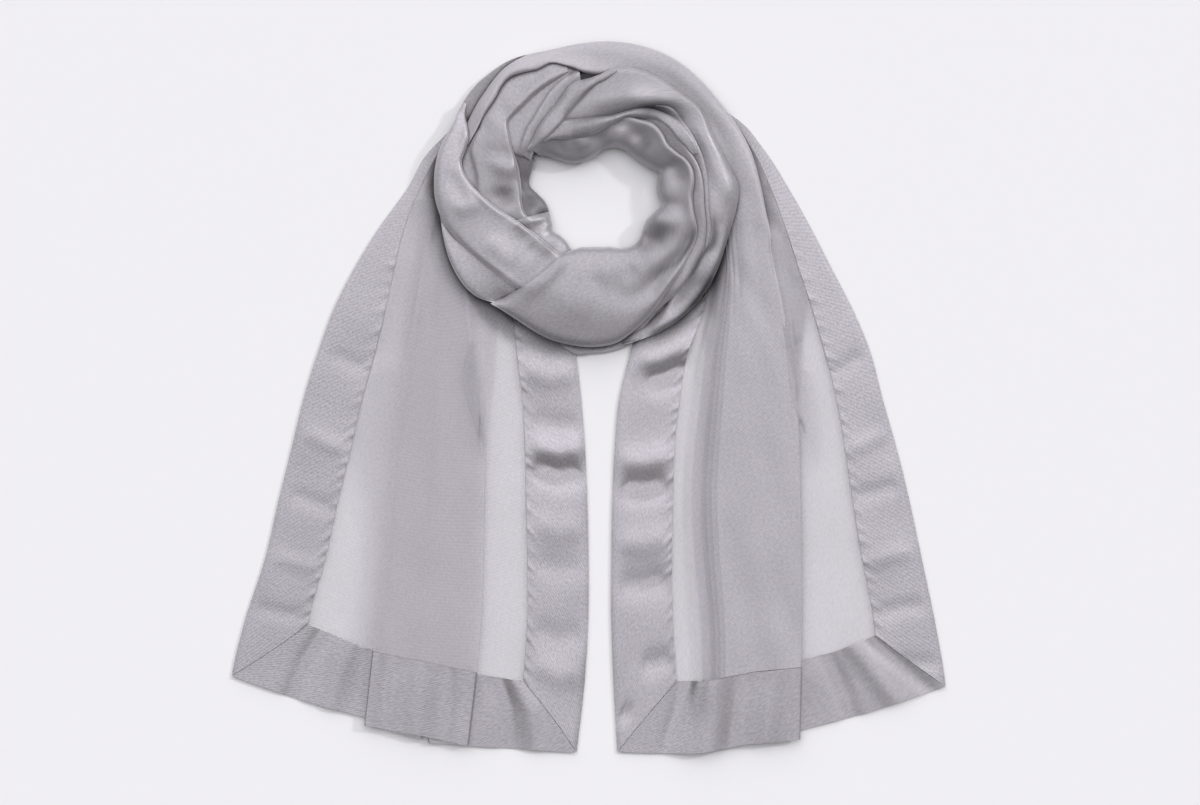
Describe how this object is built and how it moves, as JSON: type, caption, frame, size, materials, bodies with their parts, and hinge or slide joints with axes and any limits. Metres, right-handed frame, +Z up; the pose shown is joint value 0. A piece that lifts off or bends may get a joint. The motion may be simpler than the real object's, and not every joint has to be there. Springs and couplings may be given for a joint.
{
  "type": "evening stole",
  "caption": "Sheer chiffon evening stole with satin borders, laid flat, wound round a neck opening with both pleated ends brought forward as tails",
  "frame": {"origin": "centre of the bounding box, on the plane the stole lies on", "axes": "+X to the right, +Y from the tails' hems towards the back of the neck, +Z up from the surface it lies on"},
  "size_m": [0.7119, 0.7106, 0.0379],
  "materials": {
    "chiffon": "sheer matt grey chiffon",
    "satin": "opaque grey satin with a soft sheen"
  },
  "bodies": {
    "root": {"back_fold_low": "chiffon", "back_fold_mid": "chiffon", "back_inner_fold": "chiffon", "back_lip_fold": "chiffon", "back_outer_band": "chiffon", "back_under_fold": "chiffon", "front_left_under": "chiffon", "front_under_fold": "chiffon", "front_wrap": "chiffon", "inside_front_strip": "chiffon", "inside_left_panel": "chiffon", "left_chiffon": "chiffon", "left_fold": "chiffon", "left_front_band": "chiffon", "left_hem_satin": "satin", "left_inner_satin": "satin", "left_outer_satin": "satin", "left_under_fold": "chiffon", "loop_core": "chiffon", "right_band": "chiffon", "right_chiffon": "chiffon", "right_fold_low": "chiffon", "right_fold_mid": "chiffon", "right_hem_satin": "satin", "right_inner_satin": "satin", "right_outer_satin": "satin"}
  },
  "joints": []
}
